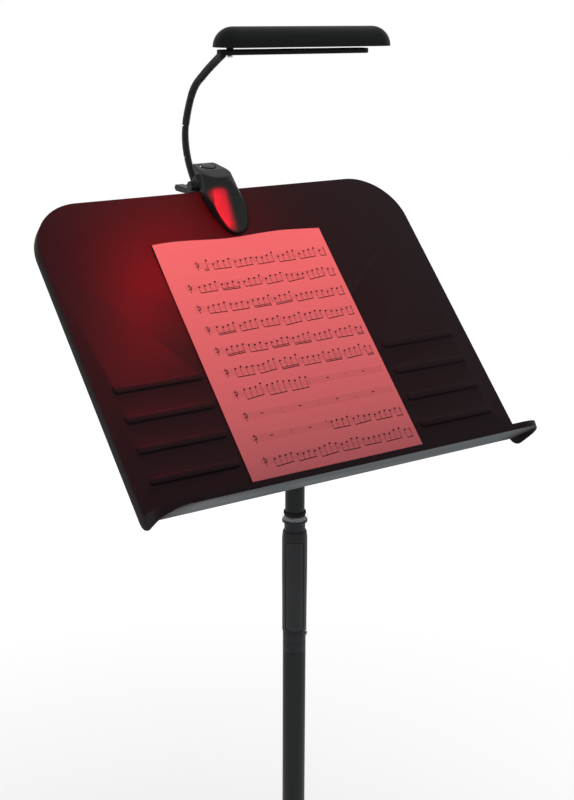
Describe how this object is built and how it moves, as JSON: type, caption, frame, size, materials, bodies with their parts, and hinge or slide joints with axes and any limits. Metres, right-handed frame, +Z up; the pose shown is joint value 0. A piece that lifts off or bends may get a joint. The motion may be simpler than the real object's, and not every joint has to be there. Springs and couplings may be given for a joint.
{
  "type": "music stand",
  "caption": "Folding music stand with a tilting solid desk, lipped ledge, squeeze-grip height mast and a clip-on gooseneck lamp.",
  "frame": {"origin": "centre of the bounding box's bottom face, on the floor under the stand", "axes": "+Z up, -Y the side the player stands on, +X to the right as the player sees the desk"},
  "size_m": [0.5166, 0.5171, 1.2172],
  "materials": {
    "black_paint": "satin black powder coat",
    "tube_paint": "smooth black paint",
    "black_plastic": "moulded satin black",
    "black_rubber": "matt black",
    "zinc_steel": "zinc plated",
    "clear_ring": "clear glossy",
    "red_lens": "clear red",
    "white_paper": "matt, printed staves",
    "cell_metal": "wrapped metal can"
  },
  "bodies": {
    "base": {"base_hub": "black_paint", "hub_bolt": "zinc_steel", "tube_plug": "zinc_steel", "leg_pin_1": "zinc_steel", "leg_pin_2": "zinc_steel", "leg_pin_3": "zinc_steel", "lower_tube": "tube_paint", "grip_core": "black_plastic", "grip_shell_front": "black_plastic", "grip_shell_back": "black_plastic", "pad_spring": "zinc_steel", "clutch_shoe": "black_plastic", "grip_screw": "zinc_steel", "grip_ring": "clear_ring", "mast_wiper": "black_rubber"},
    "slider": {"tube_foot": "black_plastic"},
    "mast": {"upper_tube": "tube_paint", "tilt_fork": "black_paint", "tilt_bolt": "zinc_steel", "tilt_washer_right": "black_rubber", "tilt_washer_left": "black_rubber"},
    "knob": {"tilt_knob": "black_plastic"},
    "pad": {"squeeze_pad": "black_plastic"},
    "desk": {"desk_panel": "black_paint", "desk_bracket": "black_paint", "bracket_screw_1": "zinc_steel", "bracket_screw_2": "zinc_steel", "bracket_screw_3": "zinc_steel", "bracket_screw_4": "zinc_steel"},
    "sheet": {"music_sheet": "white_paper"},
    "lamp": {"front_jaw": "black_plastic", "battery_cover": "black_plastic", "battery_1": "cell_metal", "battery_2": "cell_metal", "battery_3": "cell_metal", "jaw_pin": "zinc_steel", "jaw_spring": "zinc_steel", "neck_socket": "black_plastic", "front_pad": "black_rubber"},
    "jaw": {"rear_jaw": "black_plastic", "rear_pad": "black_rubber"},
    "button": {"power_button": "black_plastic"},
    "leg_1_arm": {"leg_1": "tube_paint", "leg_foot_1": "black_rubber"},
    "leg_2_arm": {"leg_2": "tube_paint", "leg_foot_2": "black_rubber"},
    "leg_3_arm": {"leg_3": "tube_paint", "leg_foot_3": "black_rubber"},
    "neck_1_link": {"neck_1": "black_plastic"},
    "neck_2_link": {"neck_2": "black_plastic"},
    "neck_3_link": {"neck_3": "black_plastic"},
    "neck_4_link": {"neck_4": "black_plastic"},
    "neck_5_link": {"neck_5": "black_plastic"},
    "neck_6_link": {"neck_6": "black_plastic"},
    "lamp_head": {"neck_7": "black_plastic", "lamp_shade": "black_plastic", "light_bar": "black_plastic", "led_lens": "red_lens", "shade_screw": "zinc_steel"}
  },
  "joints": [
    {"name": "leg_1_fold", "type": "hinge", "parent": "base", "child": "leg_1_arm", "pos_m": [0, -0.00635, 0.09], "axis": [1, 0, 0], "range_deg": [0, 62]},
    {"name": "leg_2_fold", "type": "hinge", "parent": "base", "child": "leg_2_arm", "pos_m": [0.03464, 0.05365, 0.09], "axis": [-0.5, 0.866, 0], "range_deg": [0, 62]},
    {"name": "leg_3_fold", "type": "hinge", "parent": "base", "child": "leg_3_arm", "pos_m": [-0.03464, 0.05365, 0.09], "axis": [-0.5, -0.866, 0], "range_deg": [0, 62]},
    {"name": "pad_squeeze", "type": "slide", "parent": "base", "child": "pad", "axis": [0.5592, 0.829, 0], "range_m": [0, 0.001], "stiffness_N_per_m": 2500, "springref_m": -0.001},
    {"name": "height", "type": "slide", "parent": "base", "child": "slider", "axis": [0, 0, 1], "range_m": [-0.082, 0.24]},
    {"name": "mast_swivel", "type": "hinge", "parent": "slider", "child": "mast", "pos_m": [0, 0.03365, 0.5], "axis": [0, 0, 1], "continuous": true},
    {"name": "knob_turn", "type": "hinge", "parent": "mast", "child": "knob", "pos_m": [0.02, 0.03365, 0.8124], "axis": [1, 0, 0], "range_deg": [-180, 180]},
    {"name": "desk_tilt", "type": "hinge", "parent": "mast", "child": "desk", "pos_m": [0, 0.03365, 0.8124], "axis": [1, 0, 0], "range_deg": [-46, 39]},
    {"name": "sheet_lift", "type": "slide", "parent": "desk", "child": "sheet", "axis": [0, -0.7189, 0.6952], "range_m": [0, 0.12]},
    {"name": "lamp_slide", "type": "slide", "parent": "desk", "child": "lamp", "axis": [0, 0.6952, 0.7189], "range_m": [0, 0.12]},
    {"name": "jaw_open", "type": "hinge", "parent": "lamp", "child": "jaw", "pos_m": [-0.004, 0.21201, 1.03137], "axis": [1, 0, 0], "range_deg": [0, 12], "stiffness_Nm_per_rad": 1.5, "springref_deg": -20.05},
    {"name": "button_press", "type": "slide", "parent": "lamp", "child": "button", "axis": [0, 0.2157, -0.9764], "range_m": [0, 0.0008], "stiffness_N_per_m": 900, "springref_m": -0.0005},
    {"name": "neck_1_bend", "type": "hinge", "parent": "lamp", "child": "neck_1_link", "pos_m": [-0.008, 0.23515, 1.027], "axis": [1, 0, 0], "range_deg": [-8, 6]},
    {"name": "neck_2_bend", "type": "hinge", "parent": "neck_1_link", "child": "neck_2_link", "pos_m": [-0.0114, 0.24996, 1.06161], "axis": [1, 0, 0], "range_deg": [-8, 6]},
    {"name": "neck_3_bend", "type": "hinge", "parent": "neck_2_link", "child": "neck_3_link", "pos_m": [-0.01213, 0.25144, 1.09891], "axis": [1, 0, 0], "range_deg": [-8, 6]},
    {"name": "neck_4_bend", "type": "hinge", "parent": "neck_3_link", "child": "neck_4_link", "pos_m": [-0.01246, 0.23649, 1.13359], "axis": [1, 0, 0], "range_deg": [-8, 6]},
    {"name": "neck_5_bend", "type": "hinge", "parent": "neck_4_link", "child": "neck_5_link", "pos_m": [-0.0173, 0.20687, 1.15558], "axis": [1, 0, 0], "range_deg": [-8, 6]},
    {"name": "neck_6_bend", "type": "hinge", "parent": "neck_5_link", "child": "neck_6_link", "pos_m": [-0.02547, 0.17259, 1.16956], "axis": [1, 0, 0], "range_deg": [-8, 6]},
    {"name": "neck_7_bend", "type": "hinge", "parent": "neck_6_link", "child": "lamp_head", "pos_m": [-0.03596, 0.13785, 1.18054], "axis": [1, 0, 0], "range_deg": [-8, 6]}
  ],
  "couplings": [
    {"joint": "neck_2_bend", "follows": "neck_1_bend", "ratio": 1},
    {"joint": "neck_3_bend", "follows": "neck_1_bend", "ratio": 1},
    {"joint": "neck_4_bend", "follows": "neck_1_bend", "ratio": 1},
    {"joint": "neck_5_bend", "follows": "neck_1_bend", "ratio": 1},
    {"joint": "neck_6_bend", "follows": "neck_1_bend", "ratio": 1},
    {"joint": "neck_7_bend", "follows": "neck_1_bend", "ratio": 1}
  ]
}
